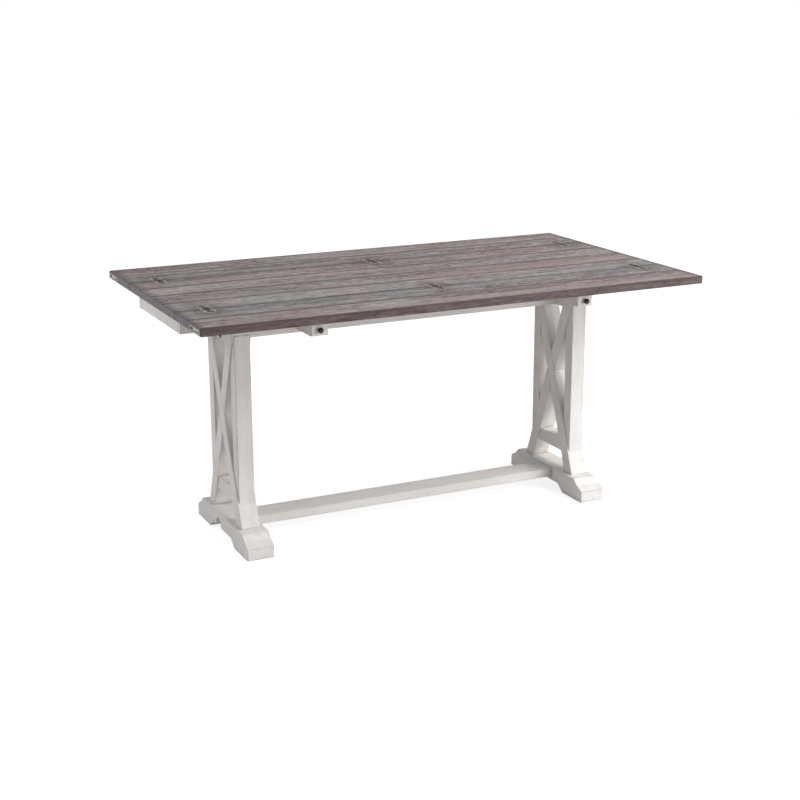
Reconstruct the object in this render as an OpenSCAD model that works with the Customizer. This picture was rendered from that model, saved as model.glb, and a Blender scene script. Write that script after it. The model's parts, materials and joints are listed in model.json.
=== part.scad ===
// Flip-top console table.
// The frame stands on the floor at z = 0, centred on x = 0 and y = 0.
// The length runs along x. The front faces -y.
// It is drawn open: both leaves lie flat and the four slides are pulled out.

/* [Table top] */
// Length of the table
top_length = 1625.6; // [1600:0.1:1700]
// Depth of the table with both leaves open
top_depth = 914.4; // [900:0.1:960]
// Height of the open top above the floor
top_height = 774.7; // [750:0.1:800]
// Thickness of the top boards
top_thick = 23.6; // [20:0.1:28]
// Gap that the two folded leaves leave between them
meet_gap = 1.6; // [1:0.1:3]
// Gap in the seam between a leaf and the centre panel
seam_gap = 0.3; // [0.2:0.05:0.6]
// Width of the routed groove between two planks
groove_wide = 4; // [2:0.5:6]
// Rounding of the upper outer edges
edge_ease = 5; // [2:0.5:6]
// Rounding of the lower outer edges
under_ease = 2; // [1:0.5:3]
// Bevel across the four corners of the table
corner_bevel = 6; // [2:0.5:10]

/* [Link hinges] */
// Width of a hinge along the seam
hinge_wide = 34; // [28:0.5:40]
// Reach of a hinge plate from the middle of the seam
hinge_reach = 50.8; // [46:0.1:60]
// Distance from the end of the table to the outer hinges
hinge_inset = 94; // [70:1:120]
// Thickness of a hinge plate
plate_thick = 2.6; // [2:0.1:3]
// Depth of the hinge pins below the top, and rounding of the seam edges
pivot_deep = 4; // [3.8:0.1:5]
// Depth of a knuckle below the top
knuckle_sink = 0.2; // [0.1:0.05:0.4]
// Width of the link between the knuckles
link_wide = 11.6; // [9:0.1:13]
// Diameter of the hinge pins
pin_dia = 2.5; // [2:0.1:2.8]

/* [Underframe box] */
// Overhang of the top past each end of the box
end_overhang = 22.8; // [10:0.1:60]
// Overhang of the centre panel past the front and back of the box
side_overhang = 29; // [10:0.5:34]
// Height of the box rails
rail_high = 48.5; // [46:0.5:56]
// Thickness of the box rails
rail_thick = 20; // [18:0.5:24]
// Width of the bearer across each leg frame
bearer_wide = 60; // [50:1:80]
// Leg of the triangular corner blocks
block_leg = 45; // [30:1:60]

/* [Slides] */
// Width of a slide
slide_wide = 51; // [44:0.5:54]
// Height of the rail left under a slide
slide_web = 7.9; // [5:0.1:12]
// Space between two slides that lie side by side
slide_between = 1.5; // [1:0.1:4]
// Distance from a leg frame's middle to the middle of its pair of slides
slide_pair_in = 148; // [120:1:200]
// Distance from the leaf's front edge to a slide that is pulled out
slide_setback = 36.6; // [30:0.1:60]
// How far a slide that is pushed in stands out of its rail
slide_proud = 3.6; // [2:0.1:8]
// Bevel round the front end of a slide
slide_bevel = 2; // [1:0.5:4]
// Diameter of the slide knobs
knob_dia = 17; // [14:0.5:24]
// Projection of the slide knobs
knob_long = 18; // [14:0.5:24]
// Drop of a knob below the middle of its slide
knob_drop = 3; // [0:0.5:6]
// Diameter of the stop pin under a slide
stop_dia = 10; // [6:0.5:12]

/* [Leg frames] */
// Distance from the end of the box to the middle of a leg frame
leg_inset = 210; // [150:1:250]
// Width of the boards of the crossed arms
arm_board = 43; // [36:0.5:48]
// Thickness of the crossed arms
arm_thick = 60; // [52:1:66]
// Distance from the middle to an arm's centreline on the foot
arm_spread = 125; // [118:1:132]
// Distance from a post's outer face to an arm's centreline at the box
arm_head_in = 7.8; // [4:0.1:12]
// Distance from the middle to the outer face of a post
post_out = 121; // [116:0.5:126]
// Width of a post
post_wide = 41; // [34:0.5:44]
// Thickness of the posts and leg rails
post_thick = 50; // [42:1:54]
// Height of the upper leg rail
upper_rail_high = 77.6; // [70:0.1:100]
// Height of the lower leg rail
lower_rail_high = 43; // [35:0.5:55]
// Gap between the foot and the lower leg rail
lower_rail_gap = 64; // [50:1:75]

/* [Sled feet] */
// Length of a foot
foot_length = 461; // [434:1:484]
// Width of a foot
foot_wide = 85; // [76:1:96]
// Height of a foot's upper face above the floor
foot_top = 70; // [66:0.5:76]
// Height of a foot's end face above the floor
foot_end_top = 37.5; // [30:0.5:42]
// Height of the shoulder line above the floor
shoulder_top = 52; // [46:0.5:58]
// Distance from the foot's end to its shoulder line
shoulder_in = 29.5; // [24:0.5:36]
// Distance from the foot's end to its upper face
upper_face_in = 48; // [42:0.5:56]
// Height of the arch under a foot
arch_high = 25; // [20:0.5:28]
// Length of the pad at each end of a foot
pad_long = 118; // [112:0.5:122]
// Length of the arch's slope
arch_run = 31; // [20:0.5:40]
// Height of the glides that carry the feet
glide_proud = 1; // [0.8:0.1:3]
// Diameter of the glides
glide_dia = 24; // [18:0.5:30]

/* [Beams] */
// Width of the floor stretcher
stretcher_wide = 87; // [70:1:100]
// Thickness of the floor stretcher
stretcher_thick = 28.5; // [24:0.5:30]
// Distance from the foot's upper face down to the stretcher
stretcher_drop = 3.7; // [2:0.1:5]
// Depth of the housing in the foot for the stretcher
housing_deep = 8; // [5:0.5:12]
// Thickness of the upper beam
beam_thick = 25; // [20:0.5:30]
// Step from the upper beam up from the lower edge of the upper leg rail
beam_step = 0; // [0:0.5:20]
// Rounding of the edges of the legs, feet, beams and rails
arris = 2; // [1:0.5:3]

/* [Hidden] */

$fn = 48;

// Colours
top_colour = [0.50, 0.46, 0.45];
paint_colour = [0.92, 0.90, 0.86];
inside_colour = [0.74, 0.66, 0.54];
bronze_colour = [0.20, 0.18, 0.17];
steel_colour = [0.62, 0.62, 0.61];
nylon_colour = [0.80, 0.80, 0.78];

// One overrun for all cuts, and the clearances
over = 1;
slide_gap = 0.3;
joint_gap = 0.1;
pin_play = 0.03;
fixing_play = 0.1;
recess_play = 0.15;
knuckle_gap = 0.3;
link_gap = 0.2;

// Heights
top_under = top_height - top_thick;
box_under = top_under - rail_high;
foot_under = glide_proud;
leg_high = box_under - foot_top;

// Seams and leaves: folded, the two leaves meet over the middle of the centre panel
seam_y = (top_depth + meet_gap) / 4;
panel_edge_y = seam_y - seam_gap / 2;
leaf_edge_y = seam_y + seam_gap / 2;
leaf_depth = top_depth / 2 - leaf_edge_y;
leaf_groove_y = (seam_y + top_depth / 2) / 2;

// Hinges
hinge_x = top_length / 2 - hinge_inset;
hinge_places = [-hinge_x, 0, hinge_x];
pivot_off = pivot_deep + seam_gap / 2;
knuckle_r = pivot_deep - knuckle_sink;
pin_r = pin_dia / 2;
pin_margin = 1;
knuckle_pocket_deep = pivot_deep + knuckle_r + knuckle_gap;
knuckle_pocket_long = pivot_off + knuckle_r + knuckle_gap;
plate_round = hinge_wide / 2;
plate_screw_share = [0.36, 0.74];

// Wood screws with flat heads
screw_head_r = 4.1;
screw_r = 2;
screw_long = 15;
screw_tip = 3;
screw_sink = 0.1;

// Catch plates let into the ends of the leaves
catch_long = 88;
catch_high = 13;
catch_thick = 2;
catch_end_gap = 6;
catch_y = top_depth / 2 - catch_end_gap - catch_long / 2;
catch_z = (top_under + under_ease + top_height - edge_ease) / 2;
catch_slot_long = 56;
catch_slot_wide = 7;
catch_slot_deep = 3.4;
catch_screw_in = 8;

// Box
box_x = top_length / 2 - end_overhang;
box_y = seam_y - side_overhang;
rail_face_y = box_y - rail_thick;
rail_face_x = box_x - rail_thick;
block_margin = 3;
leg_x = box_x - leg_inset;

// Slides: the front and back slide of a pair lie side by side
slide_high = rail_high - slide_web - 2 * slide_gap;
slide_pitch = slide_wide + slide_between;
slide_pair_x = leg_x - slide_pair_in;
slide_top = top_under - slide_gap;
slide_under = slide_top - slide_high;
notch_floor = slide_under - slide_gap;
slide_out_y = top_depth / 2 - slide_setback;
slide_in_y = box_y + slide_proud;
slide_travel = slide_out_y - slide_in_y;
slide_tail_gap = 2.6;
slide_long = slide_in_y + rail_face_y - slide_tail_gap;
slide_z = (slide_top + slide_under) / 2;
stop_y = rail_face_y - slide_gap - stop_dia / 2;
stop_floor_gap = 1;
stop_seat = 12;
knob_screw_r = 2.5;
knob_screw_long = 18;
knob_neck_r = 4.5;
knob_neck_share = 0.35;

// Guides for the slides
guide_thick = 18;
guide_ledge = 8;
guide_strip = 20;
guide_x = slide_pitch / 2 + slide_wide / 2 + slide_gap;

// Crossed arms: slope is the run in y for each unit of height
arm_slope = (arm_spread + post_out - arm_head_in) / leg_high;
arm_lean = atan(arm_slope);
cross_z = foot_top + arm_spread / arm_slope;
arm_half = arm_board / 2 * sqrt(1 + arm_slope * arm_slope);
post_in = post_out - post_wide;
leg_inner_x = leg_x - post_thick / 2;

// Feet
foot_half = foot_length / 2;
shoulder_y = foot_half - shoulder_in;
upper_face_y = foot_half - upper_face_in;
pad_y = foot_half - pad_long;
arch_y = pad_y - arch_run;
glide_y = foot_half - pad_long / 2;
glide_seat = 2;

// Stretcher and its bolts, one to the back of the left foot and one to the front of the right
stretcher_top = foot_top - stretcher_drop;
stretcher_under = stretcher_top - stretcher_thick;
foot_inner_x = leg_x - foot_wide / 2;
stretcher_x = foot_inner_x + housing_deep;
stretcher_bolt_y = 31;
stretcher_bolt_share = 0.235;
stretcher_bolt_rise = stretcher_thick * stretcher_bolt_share;
stretcher_bolt_z = stretcher_under + stretcher_bolt_rise;
bolt_scoop_r = 21;
bolt_scoop_deep = 14;
bolt_scoop_drop = 13.5;
bolt_scoop_z = stretcher_bolt_z - bolt_scoop_drop;

// Upper beam and its bolts
beam_high = upper_rail_high - beam_step;
beam_under = box_under - beam_high;
beam_bolt_rise = 15;
beam_bolt_z = beam_under + beam_bolt_rise;
beam_bolt_well_r = 10;
beam_bolt_well = 4;

// Bolts with round heads, washers and barrel nuts
bolt_r = 3;
bolt_head_r = 5.5;
bolt_head_high = 4.5;
bolt_past_nut = 3;
washer_r = 7;
washer_thick = 1.6;
nut_r = 5;
nut_margin = 1.5;
stretcher_nut_in = 30;
beam_nut_in = 36;
nut_long = 12;

// Bolts that hold the arms to the foot and to the bearer
leg_bolt_r = 4;
leg_bolt_head_r = 8;
leg_bolt_head_high = 5;
leg_bolt_well_r = 10;
foot_bolt_well = 14;
foot_bolt_bite = 35;
foot_bolt_y = arm_spread;
bearer_bolt_well = 12;
bearer_bolt_bite = 40;
bearer_bolt_y = post_out - (post_out - arm_inner(box_under)) / 2;
bolt_end_gap = 1;

// Screws that hold the centre panel down
top_screw_y = (post_out + rail_face_y) / 2;
top_screw_r = 2.2;
top_screw_head_r = 4.2;
top_screw_head_high = 2.5;
top_screw_well_r = 5;
top_screw_well = 28;
top_screw_bite = 15;

// Outline in y and z, extruded along x and centred on x = 0
module slab(thick) {
    rotate([90, 0, 90])
        linear_extrude(thick, center = true)
            children();
}

// Outline in x and z, extruded along y and centred on y = 0
module profile_along_y(long) {
    rotate([90, 0, 0])
        linear_extrude(long, center = true)
            children();
}

// Front is -1 and back is +1
module on_side(side) {
    mirror([0, side < 0 ? 1 : 0, 0])
        children();
}

// A leg frame is drawn with its outer face towards -x and turned round for the right end
module at_leg(end) {
    rotate([0, 0, end < 0 ? 0 : 180])
        translate([-leg_x, 0, 0])
            children();
}

// What a rounding of radius r takes off a corner at the origin, with the board below and left
module corner_waste(r) {
    translate([-r, -r])
        difference() {
            square(r + over);
            circle(r);
        }
}

// A rectangle with its corners rounded
module eased_rectangle(wide, high) {
    difference() {
        square([wide, high], center = true);
        for (way_x = [0, 1], way_y = [0, 1])
            mirror([way_x, 0])
                mirror([0, way_y])
                    translate([wide / 2, high / 2])
                        corner_waste(arris);
    }
}

module stadium(long, wide) {
    square([long - wide, wide], center = true);
    for (way = [-1, 1])
        translate([way * (long - wide) / 2, 0])
            circle(wide / 2);
}

// Table top

module end_section() {
    difference() {
        translate([-top_length / 2, top_under])
            square([top_length, top_thick]);
        for (end = [0, 1])
            mirror([end, 0]) {
                translate([top_length / 2, top_height])
                    corner_waste(edge_ease);
                translate([top_length / 2, top_under])
                    mirror([0, 1])
                        corner_waste(under_ease);
            }
    }
}

module panel_section() {
    difference() {
        translate([-panel_edge_y, top_under])
            square([2 * panel_edge_y, top_thick]);
        for (way = [0, 1])
            mirror([way, 0])
                translate([panel_edge_y, top_height])
                    corner_waste(pivot_deep);
    }
}

module leaf_section() {
    difference() {
        translate([leaf_edge_y, top_under])
            square([leaf_depth, top_thick]);
        translate([leaf_edge_y, top_height])
            mirror([1, 0])
                corner_waste(pivot_deep);
        translate([top_depth / 2, top_height])
            corner_waste(edge_ease);
        translate([top_depth / 2, top_under])
            mirror([0, 1])
                corner_waste(under_ease);
    }
}

module groove(y) {
    translate([0, y, top_height])
        rotate([45, 0, 0])
            cube([top_length + over, groove_wide / sqrt(2), groove_wide / sqrt(2)], center = true);
}

module corner_cut() {
    translate([top_length / 2, top_depth / 2, top_height])
        rotate([0, 0, 45])
            cube([corner_bevel * sqrt(2), corner_bevel * sqrt(2), 3 * top_thick], center = true);
}

// Places of the hinges, with local +y running from the seam into the board
module at_hinges(side, into) {
    for (x = hinge_places)
        translate([x, side * seam_y, top_height])
            rotate([0, 0, side * into > 0 ? 0 : 180])
                children();
}

module at_plate_screws() {
    for (share = plate_screw_share)
        translate([0, hinge_reach * share, -screw_sink])
            children();
}

module flat_screw() {
    rotate_extrude()
        polygon([
            [0, 0],
            [screw_head_r, 0],
            [screw_r, screw_r - screw_head_r],
            [screw_r, screw_tip - screw_long],
            [0, -screw_long]
        ]);
}

module flat_screw_hole() {
    rotate_extrude()
        polygon([
            [0, over],
            [screw_head_r + fixing_play, over],
            [screw_head_r + fixing_play, 0],
            [screw_r + fixing_play, screw_r - screw_head_r],
            [screw_r + fixing_play, -screw_long - fixing_play],
            [0, -screw_long - fixing_play]
        ]);
}

module plate_plan(grow) {
    translate([-hinge_wide / 2 - grow, 0])
        square([hinge_wide + 2 * grow, hinge_reach - plate_round]);
    translate([0, hinge_reach - plate_round])
        circle(plate_round + grow);
}

module hinge_section() {
    difference() {
        union() {
            translate([pivot_off, -plate_thick])
                square([hinge_reach - pivot_off, plate_thick]);
            translate([pivot_off, -pivot_deep])
                circle(knuckle_r);
        }
        translate([pivot_off, -pivot_deep])
            circle(pin_r + pin_play);
    }
}

module hinge_plate() {
    difference() {
        intersection() {
            slab(hinge_wide)
                hinge_section();
            linear_extrude(2 * top_thick, center = true)
                plate_plan(0);
        }
        translate([-link_wide / 2 - link_gap, -over, -top_thick])
            cube([link_wide + 2 * link_gap, over + knuckle_pocket_long, 2 * top_thick]);
        at_plate_screws()
            flat_screw_hole();
    }
}

module hinge_pocket() {
    translate([0, 0, -plate_thick])
        linear_extrude(plate_thick + over)
            plate_plan(recess_play);
    translate([-hinge_wide / 2 - recess_play, -over, -knuckle_pocket_deep])
        cube([hinge_wide + 2 * recess_play, over + knuckle_pocket_long, knuckle_pocket_deep + over]);
    at_plate_screws()
        flat_screw_hole();
}

module hinge_pin() {
    translate([0, pivot_off, -pivot_deep])
        rotate([0, 90, 0])
            cylinder(r = pin_r, h = hinge_wide - 2 * pin_margin, center = true);
}

module hinge_link() {
    slab(link_wide)
        difference() {
            translate([0, -pivot_deep])
                stadium(2 * (pivot_off + knuckle_r), 2 * knuckle_r);
            for (way = [-1, 1])
                translate([way * pivot_off, -pivot_deep])
                    circle(pin_r + pin_play);
        }
}

// Places of the catch plates, with local +z pointing out of the leaf's end and local +x along y
module at_catches(side) {
    for (end = [-1, 1])
        translate([end * top_length / 2, side * catch_y, catch_z])
            rotate([0, end * 90, 0])
                rotate([0, 0, 90])
                    children();
}

module at_catch_screws() {
    for (way = [-1, 1])
        translate([way * (catch_long / 2 - catch_screw_in), 0, -screw_sink])
            children();
}

module catch_pocket() {
    translate([0, 0, -catch_thick])
        linear_extrude(catch_thick + over)
            stadium(catch_long + 2 * recess_play, catch_high + 2 * recess_play);
    translate([0, 0, -catch_slot_deep])
        linear_extrude(catch_slot_deep)
            stadium(catch_slot_long, catch_slot_wide);
    at_catch_screws()
        flat_screw_hole();
}

module catch_plate() {
    difference() {
        translate([0, 0, -catch_thick])
            linear_extrude(catch_thick)
                stadium(catch_long, catch_high);
        translate([0, 0, -catch_thick - over])
            linear_extrude(catch_thick + 2 * over)
                stadium(catch_slot_long, catch_slot_wide);
        at_catch_screws()
            flat_screw_hole();
    }
}

module leaf_catches(side) {
    color(steel_colour)
        at_catches(side) {
            catch_plate();
            at_catch_screws()
                flat_screw();
        }
}

module centre_panel() {
    color(top_colour)
        difference() {
            intersection() {
                slab(top_length)
                    panel_section();
                profile_along_y(top_depth)
                    end_section();
            }
            for (y = [-seam_y / 2, 0, seam_y / 2])
                groove(y);
            for (side = [-1, 1])
                at_hinges(side, -1)
                    hinge_pocket();
            for (end = [-1, 1])
                at_leg(end)
                    at_top_screws()
                        top_screw_hole();
        }
}

module leaf(side) {
    color(top_colour)
        difference() {
            on_side(side)
                difference() {
                    intersection() {
                        slab(top_length)
                            leaf_section();
                        profile_along_y(top_depth)
                            end_section();
                    }
                    groove(leaf_groove_y);
                    corner_cut();
                    mirror([1, 0, 0])
                        corner_cut();
                }
            at_hinges(side, 1)
                hinge_pocket();
            at_catches(side)
                catch_pocket();
        }
}

module hinge_plates(side, into) {
    color(steel_colour)
        at_hinges(side, into)
            hinge_plate();
}

module hinge_pins(side, into) {
    color(bronze_colour)
        at_hinges(side, into)
            hinge_pin();
}

module hinge_screws(side, into) {
    color(bronze_colour)
        at_hinges(side, into)
            at_plate_screws()
                flat_screw();
}

module hinge_links(side) {
    color(bronze_colour)
        at_hinges(side, 1)
            hinge_link();
}

// Underframe box

// Opening for a slide, through the rail and open to the top
module slide_notch(x) {
    translate([x - slide_wide / 2 - slide_gap, rail_face_y - over, notch_floor])
        cube([slide_wide + 2 * slide_gap, rail_thick + 2 * over, rail_high]);
}

// Centre of a slide: front slides lie to the left of back slides in each pair
function slide_x(side, end) = end * slide_pair_x + side * slide_pitch / 2;

// A rail's section from its inner face outwards, with its lower outer edge rounded
module rail_section(inner) {
    difference() {
        translate([inner, box_under])
            square([rail_thick, rail_high]);
        translate([inner + rail_thick, box_under])
            mirror([0, 1])
                corner_waste(arris);
    }
}

module long_rail(side) {
    color(paint_colour)
        on_side(side)
            difference() {
                slab(2 * box_x)
                    rail_section(rail_face_y);
                for (end = [-1, 1])
                    slide_notch(slide_x(side, end));
            }
}

module end_rail(end) {
    color(paint_colour)
        mirror([end < 0 ? 1 : 0, 0, 0])
            profile_along_y(2 * (rail_face_y - joint_gap))
                rail_section(rail_face_x);
}

module corner_blocks() {
    color(inside_colour)
        for (way_x = [0, 1], way_y = [0, 1])
            mirror([way_x, 0, 0])
                mirror([0, way_y, 0])
                    translate([rail_face_x, rail_face_y, box_under + block_margin])
                        linear_extrude(rail_high - 2 * block_margin)
                            polygon([[0, 0], [-block_leg, 0], [0, -block_leg]]);
}

module at_bearer_bolts() {
    for (way = [-1, 1])
        translate([0, way * bearer_bolt_y, top_under - bearer_bolt_well])
            children();
}

module at_foot_bolts() {
    for (way = [-1, 1])
        translate([0, way * foot_bolt_y, foot_under + foot_bolt_well])
            rotate([180, 0, 0])
                children();
}

module at_top_screws() {
    for (way = [-1, 1])
        translate([0, way * top_screw_y, box_under + top_screw_well])
            children();
}

// A long bolt with its head above the origin and its shank below
module leg_bolt(long) {
    cylinder(r = leg_bolt_head_r, h = leg_bolt_head_high);
    translate([0, 0, -long])
        cylinder(r = leg_bolt_r, h = long);
}

module leg_bolt_hole(long, well) {
    cylinder(r = leg_bolt_well_r, h = well + over);
    translate([0, 0, -long - bolt_end_gap])
        cylinder(r = leg_bolt_r + fixing_play, h = long + bolt_end_gap + over);
}

foot_bolt_long = foot_top - foot_under - foot_bolt_well + foot_bolt_bite;
bearer_bolt_long = rail_high - bearer_bolt_well + bearer_bolt_bite;
top_screw_long = rail_high - top_screw_well + top_screw_bite;

// A screw with its head below the origin and its shank above
module top_screw() {
    translate([0, 0, -top_screw_head_high])
        cylinder(r = top_screw_head_r, h = top_screw_head_high);
    cylinder(r = top_screw_r, h = top_screw_long);
}

module top_screw_hole() {
    translate([0, 0, -top_screw_well - over])
        cylinder(r = top_screw_well_r, h = top_screw_well + over);
    translate([0, 0, -over])
        cylinder(r = top_screw_r + fixing_play, h = top_screw_long + bolt_end_gap + over);
}

module bearer(end) {
    color(inside_colour)
        at_leg(end)
            difference() {
                translate([0, 0, box_under + rail_high / 2])
                    cube([bearer_wide, 2 * (rail_face_y - joint_gap), rail_high], center = true);
                at_bearer_bolts()
                    leg_bolt_hole(bearer_bolt_long, bearer_bolt_well);
                at_top_screws()
                    top_screw_hole();
            }
}

module top_screws() {
    color(steel_colour)
        for (end = [-1, 1])
            at_leg(end)
                at_top_screws()
                    top_screw();
}

// Slides and their guides

module guide_section() {
    for (way = [0, 1])
        mirror([way, 0]) {
            translate([guide_x, box_under])
                square([guide_thick, rail_high]);
            translate([guide_x - guide_ledge, box_under])
                square([guide_ledge + over, notch_floor - box_under]);
        }
    translate([-guide_strip / 2, box_under])
        square([guide_strip, notch_floor - box_under]);
}

module slide_guides(end) {
    color(inside_colour)
        translate([end * slide_pair_x, 0, 0])
            profile_along_y(2 * (rail_face_y - joint_gap))
                guide_section();
}

module at_slide(side, end) {
    on_side(side)
        translate([slide_x(side, end), 0, slide_z])
            children();
}

// The end of the slide is bevelled all round
module slide_body() {
    half_wide = slide_wide / 2;
    half_high = slide_high / 2;
    intersection() {
        translate([0, slide_out_y - slide_long / 2, 0])
            cube([slide_wide, slide_long, slide_high], center = true);
        linear_extrude(2 * slide_high, center = true)
            polygon([
                [-half_wide, 0],
                [half_wide, 0],
                [half_wide, slide_out_y - slide_bevel],
                [half_wide - slide_bevel, slide_out_y],
                [slide_bevel - half_wide, slide_out_y],
                [-half_wide, slide_out_y - slide_bevel]
            ]);
        slab(2 * slide_wide)
            polygon([
                [0, -half_high],
                [slide_out_y - slide_bevel, -half_high],
                [slide_out_y, slide_bevel - half_high],
                [slide_out_y, half_high - slide_bevel],
                [slide_out_y - slide_bevel, half_high],
                [0, half_high]
            ]);
    }
}

module slide(side, end) {
    color(paint_colour)
        at_slide(side, end)
            difference() {
                slide_body();
                translate([0, slide_out_y - knob_screw_long - fixing_play, -knob_drop])
                    rotate([-90, 0, 0])
                        cylinder(r = knob_screw_r + fixing_play, h = knob_screw_long + over);
                translate([0, stop_y, -slide_high / 2 - over])
                    cylinder(r = stop_dia / 2 + fixing_play, h = stop_seat + over);
            }
}

module knob(side, end) {
    ball_r = knob_dia / 2;
    neck_long = knob_long * knob_neck_share;
    color(bronze_colour)
        at_slide(side, end)
            translate([0, slide_out_y, -knob_drop])
                rotate([-90, 0, 0])
                    rotate_extrude()
                        union() {
                            translate([0, -knob_screw_long])
                                square([knob_screw_r, knob_screw_long + neck_long]);
                            square([knob_neck_r, neck_long]);
                            intersection() {
                                translate([0, knob_long - ball_r])
                                    circle(ball_r);
                                translate([0, neck_long])
                                    square([ball_r, knob_long]);
                            }
                        }
}

module stop_pin(side, end) {
    pin_under = box_under + stop_floor_gap;
    color(inside_colour)
        at_slide(side, end)
            translate([0, stop_y, pin_under - slide_z])
                cylinder(r = stop_dia / 2, h = slide_under + stop_seat - pin_under - fixing_play);
}

// Leg frames

// Distance from the middle to an arm's outer and inner edge at height z
function arm_outer(z) = arm_slope * abs(z - cross_z) + arm_half;
function arm_inner(z) = arm_slope * abs(z - cross_z) - arm_half;

// Height above or below the crossing at which an arm's outer edge reaches y
function arm_rise(y) = (y - arm_half) / arm_slope;

// The room that an arm has between the foot, the box and the outer faces of the posts
module arm_room() {
    foot_reach = arm_spread + arm_half + over;
    slab(arm_thick + over)
        polygon([
            [-foot_reach, foot_top],
            [foot_reach, foot_top],
            [foot_reach, cross_z],
            [post_out, cross_z],
            [post_out, box_under],
            [-foot_reach, box_under]
        ]);
}

// A board that leans from the front of the foot to the back of the box
module leaning_board() {
    translate([0, 0, cross_z])
        rotate([-arm_lean, 0, 0])
            linear_extrude(2 * leg_high, center = true)
                children();
}

// What the other arm takes up in one half of the thickness
module halving(lean) {
    on_side(-lean)
        leaning_board()
            translate([lean * (arm_thick / 2 + over - joint_gap) / 2, 0])
                square([arm_thick / 2 + over + joint_gap, arm_board + 2 * joint_gap], center = true);
}

// Each arm is halved over the other where they cross
module crossed_arm(end, lean) {
    color(paint_colour)
        at_leg(end)
            difference() {
                on_side(lean)
                    intersection() {
                        leaning_board()
                            eased_rectangle(arm_thick, arm_board);
                        arm_room();
                    }
                intersection() {
                    halving(lean);
                    translate([0, 0, cross_z])
                        cube([2 * arm_thick, 2 * post_in, leg_high / 2], center = true);
                }
                arm_bolt_holes();
            }
}

module arm_bolt_holes() {
    at_foot_bolts()
        leg_bolt_hole(foot_bolt_long, 0);
    at_bearer_bolts()
        leg_bolt_hole(bearer_bolt_long, 0);
}

module post(end, side) {
    high = arm_rise(post_out - joint_gap);
    low = arm_rise(post_in - joint_gap);
    color(paint_colour)
        at_leg(end)
            on_side(-end * side)
                intersection() {
                    slab(post_thick)
                        polygon([
                            [post_out, cross_z - high],
                            [post_out, cross_z + high],
                            [post_in, cross_z + low],
                            [post_in, cross_z - low]
                        ]);
                    translate([0, (post_in + post_out) / 2, 0])
                        linear_extrude(top_height)
                            eased_rectangle(post_thick, post_wide);
                }
}

// A rail between the arms, its ends cut to their slope
module leg_rail(low, high) {
    low_y = arm_inner(low) - joint_gap;
    high_y = arm_inner(high) - joint_gap;
    intersection() {
        slab(post_thick)
            polygon([[-low_y, low], [low_y, low], [high_y, high], [-high_y, high]]);
        profile_along_y(2 * post_out)
            translate([0, (low + high) / 2])
                eased_rectangle(post_thick, high - low);
    }
}

module upper_leg_rail(end) {
    color(paint_colour)
        at_leg(end)
            difference() {
                leg_rail(box_under - upper_rail_high, box_under);
                translate([0, 0, beam_bolt_z])
                    rotate([0, 90, 0])
                        cylinder(r = bolt_r + fixing_play, h = 2 * post_thick, center = true);
                translate([beam_bolt_x, 0, beam_bolt_z])
                    rotate([0, -90, 0])
                        cylinder(r = beam_bolt_well_r, h = beam_bolt_well + over);
            }
}

module lower_leg_rail(end) {
    low = foot_top + lower_rail_gap;
    color(paint_colour)
        at_leg(end)
            leg_rail(low, low + lower_rail_high);
}

// Feet

module foot_outline() {
    half = [
        [arch_y, arch_high],
        [pad_y, foot_under],
        [foot_half, foot_under],
        [foot_half, foot_end_top],
        [shoulder_y, shoulder_top],
        [upper_face_y, foot_top]
    ];
    polygon(concat(half, [for (i = [len(half) - 1 : -1 : 0]) [-half[i][0], half[i][1]]]));
}

module at_glides() {
    for (way = [-1, 1])
        translate([0, way * glide_y, 0])
            children();
}

// The half-round scoop in the foot's outer face that the stretcher's bolt sits in, open to the arch
module bolt_scoop() {
    translate([(bolt_scoop_deep - foot_wide - over) / 2, stretcher_bolt_y, 0])
        slab(bolt_scoop_deep + over) {
            translate([0, bolt_scoop_z])
                circle(bolt_scoop_r);
            translate([-bolt_scoop_r, foot_under])
                square([2 * bolt_scoop_r, bolt_scoop_z - foot_under]);
        }
}

module foot(end) {
    color(paint_colour)
        at_leg(end)
            difference() {
                intersection() {
                    slab(foot_wide)
                        foot_outline();
                    linear_extrude(2 * foot_top, center = true)
                        eased_rectangle(foot_wide, foot_length);
                    profile_along_y(foot_length)
                        eased_rectangle(foot_wide, 2 * foot_top);
                }
                translate([foot_wide / 2 - housing_deep, -stretcher_wide / 2 - joint_gap, stretcher_under - joint_gap])
                    cube([housing_deep + over, stretcher_wide + 2 * joint_gap, stretcher_thick + 2 * joint_gap]);
                bolt_scoop();
                translate([0, stretcher_bolt_y, stretcher_bolt_z])
                    rotate([0, 90, 0])
                        cylinder(r = bolt_r + fixing_play, h = foot_wide, center = true);
                at_foot_bolts()
                    leg_bolt_hole(foot_bolt_long, foot_bolt_well);
                at_glides()
                    cylinder(r = glide_dia / 2 + fixing_play, h = foot_under + glide_seat);
            }
}

module floor_glides() {
    color(nylon_colour)
        for (end = [-1, 1])
            at_leg(end)
                at_glides()
                    cylinder(r = glide_dia / 2, h = foot_under + glide_seat);
}

// Beams and their fixings

// A bolt along +x: its washer starts at the origin and its head stands out of the washer
module bolt(long) {
    rotate([0, 90, 0]) {
        cylinder(r = bolt_r, h = long);
        translate([0, 0, -washer_thick])
            cylinder(r = washer_r, h = washer_thick);
        translate([0, 0, -washer_thick - bolt_head_high])
            cylinder(r = bolt_head_r, h = bolt_head_high);
    }
}

// A barrel nut that stands along z, with the bolt's hole along x
module barrel_nut() {
    difference() {
        cylinder(r = nut_r, h = nut_long, center = true);
        rotate([0, 90, 0])
            cylinder(r = bolt_r + pin_play, h = 3 * nut_r, center = true);
    }
}

// From the leg's centre: where the stretcher and the beam start, and their nuts
stretcher_nut_x = leg_x - stretcher_x + stretcher_nut_in;
beam_nut_x = post_thick / 2 + beam_nut_in;
stretcher_bolt_x = bolt_scoop_deep - foot_wide / 2;
beam_bolt_x = beam_bolt_well - post_thick / 2;

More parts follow.
